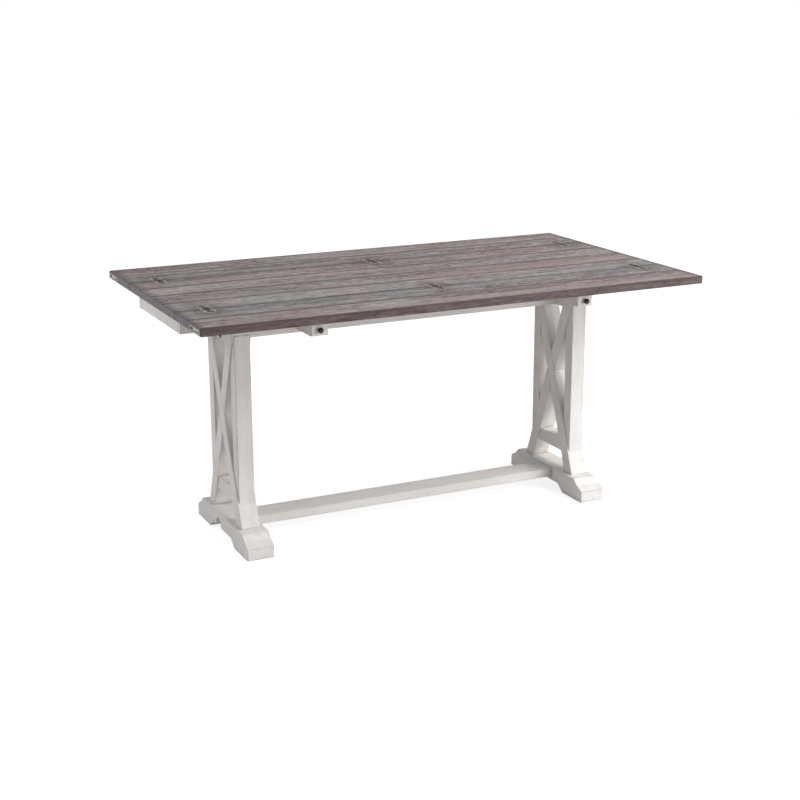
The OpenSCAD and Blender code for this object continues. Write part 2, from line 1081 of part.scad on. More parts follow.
module at_stretcher_bolt(end, x) {
    at_leg(end)
        translate([x, stretcher_bolt_y, stretcher_bolt_z])
            children();
}

module at_beam_bolt(end, x) {
    at_leg(end)
        translate([x, 0, beam_bolt_z])
            children();
}

// A nut's hole, from the piece's underside up past the nut; rise is the bolt's height above that side
module nut_hole(rise) {
    translate([0, 0, -rise - over])
        cylinder(r = nut_r + fixing_play, h = rise + over + nut_long / 2 + nut_margin);
}

module stretcher() {
    color(paint_colour)
        difference() {
            slab(2 * (stretcher_x - joint_gap))
                translate([0, stretcher_under + stretcher_thick / 2])
                    eased_rectangle(stretcher_wide, stretcher_thick);
            for (end = [-1, 1]) {
                at_stretcher_bolt(end, 0)
                    rotate([0, 90, 0])
                        cylinder(r = bolt_r + fixing_play, h = stretcher_nut_x + 2 * nut_r);
                at_stretcher_bolt(end, stretcher_nut_x)
                    nut_hole(stretcher_bolt_rise);
            }
        }
}

module upper_beam() {
    color(paint_colour)
        difference() {
            slab(2 * (leg_inner_x - joint_gap))
                translate([0, beam_under + beam_high / 2])
                    eased_rectangle(beam_thick, beam_high);
            for (end = [-1, 1]) {
                at_beam_bolt(end, 0)
                    rotate([0, 90, 0])
                        cylinder(r = bolt_r + fixing_play, h = beam_nut_x + 2 * nut_r);
                at_beam_bolt(end, beam_nut_x)
                    nut_hole(beam_bolt_rise);
            }
        }
}

module stretcher_bolts() {
    color(bronze_colour)
        for (end = [-1, 1])
            at_stretcher_bolt(end, stretcher_bolt_x)
                bolt(stretcher_nut_x - stretcher_bolt_x + nut_r + bolt_past_nut);
}

module beam_bolts() {
    color(bronze_colour)
        for (end = [-1, 1])
            at_beam_bolt(end, beam_bolt_x)
                bolt(beam_nut_x - beam_bolt_x + nut_r + bolt_past_nut);
}

module barrel_nuts() {
    color(steel_colour)
        for (end = [-1, 1]) {
            at_stretcher_bolt(end, stretcher_nut_x)
                barrel_nut();
            at_beam_bolt(end, beam_nut_x)
                barrel_nut();
        }
}

module leg_bolts() {
    color(steel_colour)
        for (end = [-1, 1])
            at_leg(end) {
                at_foot_bolts()
                    leg_bolt(foot_bolt_long);
                at_bearer_bolts()
                    leg_bolt(bearer_bolt_long);
            }
}

centre_panel();
leaf(-1);  // front_leaf
leaf(1);  // back_leaf
union() { hinge_plates(-1, -1); hinge_plates(1, -1); }  // fixed_hinge_plates
union() { hinge_pins(-1, -1); hinge_pins(1, -1); }  // fixed_hinge_pins
union() { hinge_screws(-1, -1); hinge_screws(1, -1); }  // fixed_hinge_screws
hinge_links(-1);  // front_hinge_links
hinge_plates(-1, 1);  // front_hinge_plates
hinge_pins(-1, 1);  // front_hinge_pins
hinge_screws(-1, 1);  // front_hinge_screws
hinge_links(1);  // back_hinge_links
hinge_plates(1, 1);  // back_hinge_plates
hinge_pins(1, 1);  // back_hinge_pins
hinge_screws(1, 1);  // back_hinge_screws
leaf_catches(-1);  // front_leaf_catches
leaf_catches(1);  // back_leaf_catches
long_rail(-1);  // front_rail
long_rail(1);  // back_rail
end_rail(-1);  // left_end_rail
end_rail(1);  // right_end_rail
corner_blocks();
bearer(-1);  // left_bearer
bearer(1);  // right_bearer
top_screws();
slide_guides(-1);  // left_slide_guides
slide_guides(1);  // right_slide_guides
slide(-1, -1);  // front_left_slide
slide(-1, 1);  // front_right_slide
slide(1, -1);  // back_left_slide
slide(1, 1);  // back_right_slide
knob(-1, -1);  // front_left_knob
knob(-1, 1);  // front_right_knob
knob(1, -1);  // back_left_knob
knob(1, 1);  // back_right_knob
stop_pin(-1, -1);  // front_left_stop
stop_pin(-1, 1);  // front_right_stop
stop_pin(1, -1);  // back_left_stop
stop_pin(1, 1);  // back_right_stop
crossed_arm(-1, 1);  // left_back_leaning_arm
crossed_arm(-1, -1);  // left_front_leaning_arm
post(-1, -1);  // left_front_post
post(-1, 1);  // left_back_post
upper_leg_rail(-1);  // left_upper_leg_rail
lower_leg_rail(-1);  // left_lower_leg_rail
foot(-1);  // left_foot
crossed_arm(1, -1);  // right_back_leaning_arm
crossed_arm(1, 1);  // right_front_leaning_arm
post(1, -1);  // right_front_post
post(1, 1);  // right_back_post
upper_leg_rail(1);  // right_upper_leg_rail
lower_leg_rail(1);  // right_lower_leg_rail
foot(1);  // right_foot
upper_beam();
stretcher();
beam_bolts();
stretcher_bolts();
barrel_nuts();
leg_bolts();
floor_glides();
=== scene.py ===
# %% [markdown]
# # A flip-top console table
#
# This table has a weathered top in three boards and a painted base. The outer two boards are
# leaves: they fold inwards over the fixed middle board, and lie on pull-out slides when they are
# open.
#
# The solid parts come from a CAD model, each as an object of its own, already in metres and in
# place. Here they get their finishes, a few small fittings are modelled again with finer detail,
# and the table is set up for its picture.

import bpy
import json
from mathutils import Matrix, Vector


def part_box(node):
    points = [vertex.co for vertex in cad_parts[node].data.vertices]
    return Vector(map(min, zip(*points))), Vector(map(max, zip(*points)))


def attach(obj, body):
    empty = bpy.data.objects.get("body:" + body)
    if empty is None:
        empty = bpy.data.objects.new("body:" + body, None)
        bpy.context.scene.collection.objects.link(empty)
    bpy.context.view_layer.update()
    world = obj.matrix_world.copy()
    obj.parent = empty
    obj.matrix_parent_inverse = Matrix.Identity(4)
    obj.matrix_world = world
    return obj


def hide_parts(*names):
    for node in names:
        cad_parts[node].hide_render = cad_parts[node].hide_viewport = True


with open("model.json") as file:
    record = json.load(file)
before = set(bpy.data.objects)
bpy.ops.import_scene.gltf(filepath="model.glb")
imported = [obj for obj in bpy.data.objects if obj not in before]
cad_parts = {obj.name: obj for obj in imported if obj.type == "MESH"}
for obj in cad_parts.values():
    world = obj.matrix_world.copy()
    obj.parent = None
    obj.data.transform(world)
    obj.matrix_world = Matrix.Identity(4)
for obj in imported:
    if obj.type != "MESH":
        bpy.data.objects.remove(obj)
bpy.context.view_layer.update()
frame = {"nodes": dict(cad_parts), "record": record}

# %% [markdown]
# ## Tools
#
# Blender's own modules come next. `bmesh` edits meshes in memory with the same operators that the
# editor has, so a small fitting is made here step by step, as it would be by hand.

# %% Modules
import json
from math import cos, pi, radians, sin

import bmesh
import bpy
from mathutils import Matrix, Vector

# %% [markdown]
# ## Places on the table
#
# Patterns on the wood follow the boards, so the script needs to know where they are. All of it is
# read from the boxes of the nodes, so nothing has to be typed twice if the model changes.

# %% Places of the boards
panel_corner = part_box("centre_panel")[1]
half_length, seam_y, top_face = panel_corner
half_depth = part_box("back_leaf")[1].y
leaf_groove_y = (seam_y + half_depth) / 2
grooves = [-leaf_groove_y, -seam_y, -seam_y / 2, 0.0, seam_y / 2, seam_y, leaf_groove_y]
print("top", round(2 * half_length, 4), "by", round(2 * half_depth, 4), "at", round(top_face, 4))

# %% [markdown]
# Three hinges lie across each seam, one in the middle and one near each end. Slotted catch plates
# are let into the leaves' ends. Their finishes follow their outlines, so those are read as well.

# %% Places of the hinges and catches
hinge_half = 0.017  # half the width of a hinge plate
plates_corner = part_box("back_hinge_plates")[1]
hinge_x = plates_corner.x - hinge_half
hinge_reach = plates_corner.y - seam_y
catch_low, catch_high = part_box("back_leaf_catches")
catch_y = (catch_low.y + catch_high.y) / 2
catch_z = (catch_low.z + catch_high.z) / 2
catch_half = (catch_high.y - catch_low.y) / 2
catch_high_half = (catch_high.z - catch_low.z) / 2
print("hinges at x", round(hinge_x, 4), "catches at y", round(catch_y, 4))

# %% [markdown]
# ## A little language for shaders
#
# A procedural finish is a sum: some grain, plus some stain, less some wear. Drawn as nodes, such a
# sum is hard to read. A small class that wraps a node's output lets Python's own operators make the
# Math nodes, so `1 - mask * 0.5` can be written as it is. The reversed forms of the operators are
# there so that a number may come first.

# %% The wrapped output
class Value:
    def __init__(self, finish, output):
        self.finish = finish
        self.output = output

    def sum(self, operation, *others):
        sockets = dict(enumerate([self, *others]))
        return self.finish.node("ShaderNodeMath", {"operation": operation}, sockets)

    def __add__(self, other):
        return self.sum("ADD", other)

    def __radd__(self, other):
        return self.sum("ADD", other)

    def __sub__(self, other):
        return self.sum("SUBTRACT", other)

    def __rsub__(self, other):
        return (self * -1) + other

    def __mul__(self, other):
        return self.sum("MULTIPLY", other)

    def __rmul__(self, other):
        return self.sum("MULTIPLY", other)

    def __truediv__(self, other):
        return self.sum("DIVIDE", other)

    def __abs__(self):
        return self.sum("ABSOLUTE")

    def __pow__(self, other):
        return self.sum("POWER", other)

    def __gt__(self, other):
        return self.sum("GREATER_THAN", other)

    def least(self, other):
        return self.sum("MINIMUM", other)

    def most(self, other):
        return self.sum("MAXIMUM", other)


# %% [markdown]
# A colour is picked on a screen, where equal steps look equal. The shader wants the light that such
# a colour stands for, so each channel is turned into that first.

# %% Colours
def linear(red, green, blue):
    """The light of a screen colour whose channels go from 0 to 255."""
    shares = [channel / 255 for channel in (red, green, blue)]
    return [s / 12.92 if s <= 0.04045 else ((s + 0.055) / 1.055) ** 2.4 for s in shares] + [1.0]


# %% [markdown]
# A finish is one material. All its nodes come from a single method, which takes the type, then the
# settings and then what goes into the sockets. Nodes that are used often get a short method each.

# %% The finish
class Finish:
    def __init__(self, name):
        self.material = bpy.data.materials.new(name)
        self.material.use_nodes = True
        self.tree = self.material.node_tree
        self.shader = self.tree.nodes["Principled BSDF"]
        self.place = self.node("ShaderNodeTexCoord", out="Object")

    def node(self, kind, settings=(), sockets=(), out=0):
        node = self.tree.nodes.new(kind)
        for name, value in dict(settings).items():
            setattr(node, name, value)
        for name, value in dict(sockets).items():
            self.feed(node.inputs[name], value)
        return Value(self, node.outputs[out])

    def feed(self, socket, value):
        if isinstance(value, Value):
            self.tree.links.new(value.output, socket)
        else:
            socket.default_value = value

    def set(self, **inputs):
        for name, value in inputs.items():
            self.feed(self.shader.inputs[name.replace("_", " ")], value)

    def parts(self, vector):
        split = self.tree.nodes.new("ShaderNodeSeparateXYZ")
        self.tree.links.new(vector.output, split.inputs[0])
        return [Value(self, output) for output in split.outputs]

    def vector(self, x, y, z):
        return self.node("ShaderNodeCombineXYZ", {}, {0: x, 1: y, 2: z})

    def turned(self, turn):
        """The place, turned so that a piece's long direction lies along x."""
        return self.node("ShaderNodeMapping", {}, {"Vector": self.place, "Rotation": turn})

    def noise(self, vector, scale, detail=2.0, roughness=0.5, distortion=0.0):
        sockets = {"Vector": vector, "Scale": scale, "Detail": detail, "Roughness": roughness}
        return self.node("ShaderNodeTexNoise", {}, {**sockets, "Distortion": distortion})

    def stretched(self, vector, scales, detail, roughness=0.5, distortion=0.0):
        """Noise with a scale of its own along each axis: grain is long one way and fine across."""
        sockets = {0: vector, 1: scales}
        scaled = self.node("ShaderNodeVectorMath", {"operation": "MULTIPLY"}, sockets)
        return self.noise(scaled, 1.0, detail, roughness, distortion)

    def table(self, index, rows):
        """The two numbers of the row that the index picks."""
        holder = self.tree.nodes.new("ShaderNodeValToRGB")
        ramp = holder.color_ramp
        ramp.interpolation = "CONSTANT"
        ramp.elements.remove(ramp.elements[1])
        for count, row in enumerate(rows):
            stop = ramp.elements[0] if count == 0 else ramp.elements.new(count / len(rows))
            stop.color = (*row, 0, 1)
        self.feed(holder.inputs[0], (index + 0.5) / len(rows))
        return self.parts(Value(self, holder.outputs[0]))[:2]

    def smooth(self, value, start, end):
        sockets = {"Value": value, "From Min": start, "From Max": end}
        return self.node("ShaderNodeMapRange", {"interpolation_type": "SMOOTHSTEP"}, sockets)

    def mix(self, share, first, second):
        sockets = {0: share, 6: first, 7: second}
        return self.node("ShaderNodeMix", {"data_type": "RGBA"}, sockets, out=2)

    def bump(self, height, strength, distance):
        sockets = {"Height": height, "Strength": strength, "Distance": distance}
        return self.node("ShaderNodeBump", {}, sockets)

    def facing(self):
        """How much a face looks along x, y and z, without the sign."""
        normal = self.node("ShaderNodeNewGeometry", out="True Normal")
        return [abs(part) for part in self.parts(normal)]

    def edges(self, radius):
        """Near 1 on sharp edges: there a rounded copy's normal turns away from the face's own."""
        rounded = self.node("ShaderNodeBevel", {"samples": 4}, {"Radius": radius})
        normal = self.node("ShaderNodeNewGeometry", out="Normal")
        sockets = {0: rounded, 1: normal}
        dot = self.node("ShaderNodeVectorMath", {"operation": "DOT_PRODUCT"}, sockets, out=1)
        return self.smooth(1 - dot, 0.0, 0.25)


# %% [markdown]
# The record says what each node of the model is made of, so a finish can be given to all the
# nodes of a kind at once.

# %% Dressing the nodes
def nodes_of(slot):
    return [s["node"] for s in frame["record"]["subparts"] if s["material_slot"] == slot]


def dress(node, material):
    materials = frame["nodes"][node].data.materials
    materials.clear()
    materials.append(material)


# %% [markdown]
# ## The weathered top
#
# The real boards are wire-brushed: soft grain is scrubbed out, a grey stain is wiped over the wood
# and catches in the hollows, and the ends, edges and grooves are burnished darker. An image of wood
# would repeat and would not turn the corner onto the edges. Noise in three dimensions does:
# stretched along x it gives streaks on the flat and on the long edges, and small dots, like real
# end grain, on the ends.
#
# Each plank between two grooves gets a number, which shifts its pattern. A short table gives its
# lightness and how grey it is, chosen as a joiner lays boards out. Wide streaks are needed
# as well as fine ones: from across a room only the wide ones can be seen.

# %% Grain of the planks
plank_tones = [  # lightness and greyness of each plank, from the front one to the back one
    (0.62, 0.12), (0.42, 0.72), (0.66, 0.78), (0.44, 0.2),
    (0.56, 0.75), (0.36, 0.3), (0.55, 0.66), (0.4, 0.34),
]
plank_shift = 5.3
grain_noises = {  # scales along x, y and z, then detail, roughness and distortion
    "boards": ((0.7, 15, 15), 2, 0.5, 0.3),
    "patches": ((2.2, 9, 9), 3, 0.6, 0.8),
    "hues": ((0.9, 17, 17), 2, 0.5, 0.3),
    "bands": ((3.5, 48, 48), 4, 0.65, 0.4),
    "flecks": ((34, 105, 105), 3, 0.75),
    "streaks": ((9, 170, 170), 4, 0.62, 0.4),
    "fibres": ((24, 900, 900), 2, 0.5),
    "pores": ((42, 480, 480), 1, 0.5),
    "rings": ((1, 34, 330), 3, 0.6, 0.6),
}


def grain_of_planks(finish):
    x, y, z = finish.parts(finish.place)
    plank = sum((y > groove) for groove in grooves)
    shift = plank * plank_shift
    along = finish.vector(x + shift, y, z + shift)
    grain = {name: finish.stretched(along, *noise) for name, noise in grain_noises.items()}
    grain["lightness"], grain["greyness"] = finish.table(plank, plank_tones)
    grain["dark dashes"] = finish.smooth(grain["pores"], 0.64, 0.74)
    grain["pale dashes"] = finish.smooth(grain["pores"], 0.36, 0.27)
    return grain


# %% [markdown]
# The noises are added up, each with its own weight, to one tone, and the tone runs from dark grain
# over the middle colour to the pale ridges. A slower noise decides where the stain is greyer and
# where the wood's own rose colour comes through.

# %% Colour of the planks
grain_dark = linear(86, 75, 73)
grain_mid = linear(145, 135, 134)
grain_light = linear(186, 177, 174)
stain_grey = linear(138, 140, 143)
stain_rose = linear(157, 136, 132)
mid_tone, light_tone = 0.52, 1.25
tone_weights = {
    "boards": 1.2, "patches": 1.0, "bands": 1.8, "streaks": 1.4, "fibres": 1.0, "flecks": 3.0,
}


def colour_of_planks(finish, grain):
    tone = sum((grain[name] - 0.5) * weight for name, weight in tone_weights.items())
    tone = tone + (grain["lightness"] - 0.5) * 0.6 + 0.45
    colour = finish.mix(finish.smooth(tone, 0.0, mid_tone), grain_dark, grain_mid)
    colour = finish.mix(finish.smooth(tone, mid_tone, light_tone), colour, grain_light)
    hue = grain["hues"] + (grain["greyness"] - 0.5) * 0.24
    colour = finish.mix(finish.smooth(hue, 0.52, 0.68) * 0.55, colour, stain_grey)
    colour = finish.mix(finish.smooth(hue, 0.48, 0.32) * 0.55, colour, stain_rose)
    colour = finish.mix(grain["dark dashes"] * 0.5, colour, grain_dark)
    return tone, finish.mix(grain["pale dashes"] * 0.4, colour, grain_light)


# %% [markdown]
# Wood is darker where a tool or a hand has rubbed it: at the boards' ends and sides, on both sides
# of each groove, and round the hinges, where the leaves are taken hold of. Each of these is a
# distance from a line, made ragged with noise so that no band has a ruled edge.

# %% Rubbed and handled wood
edge_brown = linear(82, 70, 68)
groove_half = 0.0024


def rubbed_darker(finish, colour):
    x, y, z = finish.parts(finish.place)
    ragged = finish.stretched(finish.place, (30, 45, 45), 3, 0.6)
    fitful = finish.stretched(finish.place, (6, 20, 20), 3, 0.6)
    from_end = half_length - abs(x) + (ragged - 0.5) * 0.03
    from_side = half_depth - abs(y) + (ragged - 0.5) * 0.02
    colour = finish.mix(finish.smooth(from_end, 0.036, 0.002) * 0.75, colour, edge_brown)
    colour = finish.mix(finish.smooth(from_side, 0.018, 0.001) * 0.6, colour, edge_brown)
    for groove in grooves:
        gap = abs(y - groove)
        stained = finish.smooth(gap + (ragged - 0.5) * 0.012, 0.014, 0.003)
        stained = stained * finish.smooth(fitful, 0.24, 0.5)
        colour = finish.mix(stained * 0.8, colour, edge_brown)
        bottom = finish.smooth(gap, groove_half, groove_half * 0.3)
        colour = finish.mix(bottom * 0.9, colour, grain_dark)
    beside = abs(x).least(abs(abs(x) - hinge_x))
    off_hinge = finish.vector(beside, abs(abs(y) - seam_y) * 0.6, 0)
    length = {"operation": "LENGTH"}
    off_hinge = finish.node("ShaderNodeVectorMath", length, {0: off_hinge}, out="Value")
    handled = finish.smooth(off_hinge + (fitful - 0.5) * 0.12, 0.075, 0.01)
    return finish.mix(handled * 0.66, colour, edge_brown)


# %% [markdown]
# The long edges are nearly as dark as the grooves, with the same streaks. The ends show the dots
# and growth rings of end grain, with a dark line where two boards meet. Which of these a face is
# comes from the way it looks. The upper arris of a long edge gets a dark line of its own.

# %% Long edges and ends
side_dark, side_pale = linear(66, 54, 52), linear(112, 98, 96)
end_dark, end_pale = linear(96, 92, 92), linear(139, 136, 137)
arris_brown = linear(62, 50, 48)
seam_dark = linear(44, 38, 36)


def sides_and_ends(finish, grain, colour):
    x, y, z = finish.parts(finish.place)
    facing_x, facing_y, _ = finish.facing()
    streaks = grain["streaks"] * 0.6 + grain["flecks"] * 0.4
    side = finish.mix(finish.smooth(streaks, 0.35, 0.65), side_dark, side_pale)
    colour = finish.mix(finish.smooth(facing_y, 0.55, 0.9), colour, side)
    arris = finish.smooth(half_depth - abs(y), 0.0075, 0.003)
    arris = arris * finish.smooth(z, top_face - 0.006, top_face - 0.003)
    colour = finish.mix(arris * 0.75, colour, arris_brown)
    dots = grain["rings"] * 0.45 + grain["fibres"] * 0.35 + grain["pores"] * 0.2
    end = finish.mix(finish.smooth(dots, 0.36, 0.64), end_dark, end_pale)
    at_seam = finish.smooth(abs(abs(y) - seam_y), 0.0022, 0.0012)
    end = finish.mix(at_seam, end, seam_dark)
    return finish.mix(finish.smooth(facing_x, 0.55, 0.9), colour, end)


# %% [markdown]
# Behind the slot of each catch plate the wood is cut away, and the floor of the cut is painted
# nearly white: painted light where the slot lies in shade.

# %% Painted light in the catch plates' slots
slot_light_cream, slot_light_white = linear(240, 235, 226), linear(250, 248, 244)


def lit_slot_floors(finish, grain, colour):
    x, y, z = finish.parts(finish.place)
    sunk = finish.smooth(half_length - abs(x), 0.0021, 0.0026)
    level = finish.smooth(abs(z - catch_z), 0.0042, 0.0036)
    between = finish.smooth(abs(abs(y) - catch_y), 0.032, 0.03)
    slot_light = finish.mix(grain["streaks"], slot_light_cream, slot_light_white)
    # Painted light: the slot's floor is nearly white, brighter than the shade in the slot would let
    # it be.
    return finish.mix(sunk * level * between, colour, slot_light)


# %% [markdown]
# The steps come together in one material. The same grain that colours the wood also lifts it, and
# the pale ridges are a little smoother than the hollows.

# %% Weathered wood
def weathered_wood():
    finish = Finish("weathered_wood")
    grain = grain_of_planks(finish)
    tone, colour = colour_of_planks(finish, grain)
    colour = rubbed_darker(finish, colour)
    colour = sides_and_ends(finish, grain, colour)
    colour = lit_slot_floors(finish, grain, colour)
    roughness = 0.62 - (tone - 0.5) * 0.12
    height = grain["streaks"] * 0.8 + grain["fibres"] * 0.7 - grain["dark dashes"] * 0.6
    finish.set(Base_Color=colour, Roughness=roughness, Specular_IOR_Level=0.32)
    finish.set(Normal=finish.bump(height, 0.35, 0.0007))
    return finish.material


wood = weathered_wood()
boards = nodes_of("weathered_top")
for name in boards:
    dress(name, wood)
print("weathered wood on", boards, "with", len(wood.node_tree.nodes), "nodes")

# %% [markdown]
# ## The painted base
#
# The base is painted antique white. Then a brown-grey glaze is wiped on and off, and the arrises
# are rubbed back by hand until the wood shows through. A Bevel node finds the arrises without any
# work on the mesh: where the rounded normal differs from the real one, there is an edge. The
# Ambient Occlusion node finds the corners between two pieces, where shade falls, and there the
# paint is darkened with the glaze's brown: painted shade. Noise breaks both up, because a hand
# never rubs evenly. The grain of the wood still shows through as faint ridges along each piece, so
# the finish takes the direction in which the piece runs. Where a post stands on its splayed arm the
# maker filled the joint, so there the wear and the painted corner shade are left out.

# %% Painted wood
paint_white = linear(243, 240, 238)
paint_cream = linear(232, 227, 222)
rub_grey = linear(128, 119, 110)
# The glaze's brown, which also darkens the corners as painted shade.
glaze_and_shade_brown = linear(150, 140, 130)
rub_reach = 0.005
corner_shade_reach = 0.022
post_foot_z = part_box("left_front_post")[0].z


def painted_wood(name, turn, shaded_corners=True):
    finish = Finish(name)
    grain = finish.turned(turn)
    strokes = finish.stretched(grain, (9, 260, 260), 3, 0.6)
    streaks = finish.stretched(grain, (3.5, 60, 60), 3, 0.6)
    clouds = finish.noise(finish.place, 5.5, 3, 0.6)
    chips = finish.noise(finish.place, 46.0, 4, 0.7)
    wide = finish.noise(finish.place, 7.0, 2, 0.5)

    pale = clouds * 0.45 + strokes * 0.2 + streaks * 0.35
    colour = finish.mix(finish.smooth(pale, 0.38, 0.62), paint_white, paint_cream)
    worn = finish.smooth(chips * 0.55 + wide * 0.45, 0.34, 0.54)
    off_joint = abs(finish.parts(finish.place)[2] - post_foot_z)
    unfilled = finish.smooth(off_joint, 0.004, 0.011)
    rub = finish.edges(rub_reach) * worn * unfilled
    colour = finish.mix(rub * 0.75, colour, rub_grey)
    thin = finish.smooth(strokes * 0.45 + chips * 0.3 + streaks * 0.25, 0.57, 0.7)
    colour = finish.mix(thin * 0.3, colour, glaze_and_shade_brown)
    # Painted shade: where ambient occlusion finds a corner between pieces, the paint is darkened
    # towards the glaze's brown.
    if shaded_corners:
        reach = {"Distance": corner_shade_reach}
        open_sky = finish.node("ShaderNodeAmbientOcclusion", {"samples": 6}, reach, out="AO")
        corner_shade = finish.smooth(open_sky + (chips - 0.5) * 0.5, 0.8, 0.25) * unfilled
        colour = finish.mix(corner_shade * 0.4, colour, glaze_and_shade_brown)

    height = strokes * 0.7 + chips * 0.25 - rub * 0.6
    finish.set(Base_Color=colour, Roughness=0.46 + rub * 0.2 + (clouds - 0.5) * 0.1)
    finish.set(Normal=finish.bump(height, 0.2, 0.0004))
    return finish.material


# %% [markdown]
# The direction of each painted piece comes from its own box: the longest side is the way the board
# runs. The slides move, so they get a finish without the painted shade in the corners, which would
# stay behind on them where the rail was.

# %% Painted pieces
def along_of(node):
    low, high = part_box(node)
    size = high - low
    return max(range(3), key=lambda axis: size[axis])


turns = {0: (0, 0, 0), 1: (0, 0, pi / 2), 2: (0, pi / 2, 0)}
paints = {axis: painted_wood("painted_wood_" + "xyz"[axis], turns[axis]) for axis in turns}
# The slides' paint has no painted corner shade.
slide_paint = painted_wood("painted_slide", turns[1], shaded_corners=False)
painted = nodes_of("antique_white")
for name in painted:
    dress(name, slide_paint if name.endswith("_slide") else paints[along_of(name)])
print("painted", len(painted), "pieces")

# %% [markdown]
# No painted board has a knife edge: the maker takes every arris off with a few strokes of paper,
# and the soft edge is what catches the light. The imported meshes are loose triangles, so a Weld
# modifier joins them first, and a Bevel modifier then rounds only what is sharper than its angle.

# %% Eased arrises
ease = 0.0008
for name in painted:
    weld = frame["nodes"][name].modifiers.new("joined", "WELD")
    weld.merge_threshold = 1e-5
    bevel = frame["nodes"][name].modifiers.new("eased", "BEVEL")
    bevel.width = ease
    bevel.segments = 2
    bevel.limit_method = "ANGLE"
    bevel.angle_limit = radians(38)
print("arrises eased by", ease * 1000, "mm")

# %% [markdown]
# ## Bare wood inside
#
# Bearers, guides, corner blocks and stops are plain planed wood that is never seen from the front.

# %% Bare wood
bare_light = linear(198, 172, 138)
bare_dark = linear(160, 130, 96)


def bare_wood(name, turn):
    finish = Finish(name)
    grain = finish.turned(turn)
    rings = finish.stretched(grain, (3, 60, 60), 3, 0.5, 0.8)
    lines = finish.stretched(grain, (12, 500, 500), 2)
    tone = rings * 0.65 + lines * 0.35
    finish.set(Base_Color=finish.mix(finish.smooth(tone, 0.35, 0.65), bare_light, bare_dark))
    finish.set(Roughness=0.6 + lines * 0.15, Normal=finish.bump(lines, 0.2, 0.0003))
    return finish.material


bares = {axis: bare_wood("bare_wood_" + "xyz"[axis], turns[axis]) for axis in turns}
plain = nodes_of("bare_wood")
for name in plain:
    dress(name, bares[along_of(name)])
print("bare wood on", len(plain), "pieces")

# %% [markdown]
# ## Metal and nylon
#
# The knobs and bolts are dark bronze, worn lighter on their edges. The hinges' links, pins and
# screws are blackened steel, which hardly shines, and the hidden bolts are zinc plated. All three
# are one recipe: two colours in clouds, a third on the arrises, and specks that are less metallic.

# %% Aged metal
def aged_metal(name, dark, light, edge, roughness, specked, metal=0.9, shine=0.5):
    """dark, light and edge are screen colours, and specked is how much metal the specks lose."""
    finish = Finish(name)
    clouds = finish.noise(finish.place, 160.0, 4, 0.65)
    specks = finish.noise(finish.place, 900.0, 2, 0.5)
    rim = finish.edges(0.0009)
    tone = clouds * 0.65 + specks * 0.35
    colour = finish.mix(finish.smooth(tone, 0.35, 0.65), linear(*dark), linear(*light))
    colour = finish.mix(rim * 0.75, colour, linear(*edge))
    metallic = metal - finish.smooth(tone, 0.45, 0.3) * specked
    finish.set(Base_Color=colour, Metallic=metallic, Specular_IOR_Level=shine)
    finish.set(Roughness=roughness + (clouds - 0.5) * 0.25 - rim * 0.08)
    finish.set(Normal=finish.bump(specks + clouds, 0.15, 0.0001))
    return finish.material


# %% [markdown]
# The hinge plates are antiqued steel with rounded far ends. The distance from a plate's own middle
# line gives its rim exactly, and the rim is painted lighter than the rest: a painted highlight.
# Round the link and the two screws the plate is painted nearly black, in broken blots: painted
# shade round the link and the screw heads.

# %% Hinge plates
plate_dark, plate_light = linear(84, 79, 77), linear(146, 141, 138)
plate_bright, plate_rim_highlight = linear(218, 214, 210), linear(206, 202, 198)
plate_shade_black = linear(10, 9, 8)
screw_shares = (0.36, 0.74)  # of the way from the seam to a plate's far end


def hinge_metal():
    finish = Finish("antiqued_hinge")
    x, y, z = finish.parts(finish.place)
    across = abs(x).least(abs(abs(x) - hinge_x))
    out = abs(abs(y) - seam_y)
    past = (out - (hinge_reach - hinge_half)).most(0)
    inset = hinge_half - (across ** 2 + past ** 2) ** 0.5
    clouds = finish.noise(finish.place, 170.0, 4, 0.65)
    scratches = finish.stretched(finish.place, (1400, 260, 260), 2)
    worn = finish.noise(finish.place, 90.0, 3, 0.7)
    blots = finish.noise(finish.place, 150.0, 2, 0.6)
    bright = finish.smooth(finish.noise(finish.place, 240.0, 4, 0.65), 0.54, 0.68)

    # Painted highlight along the plate's rim.
    rim = finish.smooth(inset + (clouds - 0.5) * 0.005, 0.0046, 0.0026)
    rim = rim * finish.smooth(worn, 0.4, 0.58)
    # Painted shade near the seam, where the link sits, and round each screw head.
    dark = finish.smooth(out + (clouds - 0.5) * 0.01, 0.016, 0.011)
    for share in screw_shares:
        away = (across ** 2 + (out - hinge_reach * share) ** 2) ** 0.5
        dark = dark.most(finish.smooth(away + (clouds - 0.5) * 0.012, 0.0125, 0.0075))
    dark = dark * finish.smooth(blots, 0.4, 0.54)

    tone = finish.smooth(clouds * 0.7 + scratches * 0.3, 0.34, 0.66)
    colour = finish.mix(tone, plate_dark, plate_light)
    colour = finish.mix(bright * 0.65, colour, plate_bright)
    colour = finish.mix(dark * 0.95, colour, plate_shade_black)
    colour = finish.mix(rim * 0.6, colour, plate_rim_highlight)
    finish.set(Base_Color=colour, Metallic=0.5 - dark * 0.5, Specular_IOR_Level=0.12)
    finish.set(Roughness=0.55 + dark * 0.25 - rim * 0.12 + (clouds - 0.5) * 0.2)
    finish.set(Normal=finish.bump(scratches * 0.5 + clouds, 0.15, 0.0001))
    return finish.material


# %% [markdown]
# The slotted plates in the leaves' ends are let in flush. Each is a dark plate with a pale rim
# painted along its outline: a painted highlight.

# %% Catch plates
catch_dark, catch_light, catch_rim_highlight = linear(56, 52, 50), linear(116, 112, 109), linear(204, 200, 194)


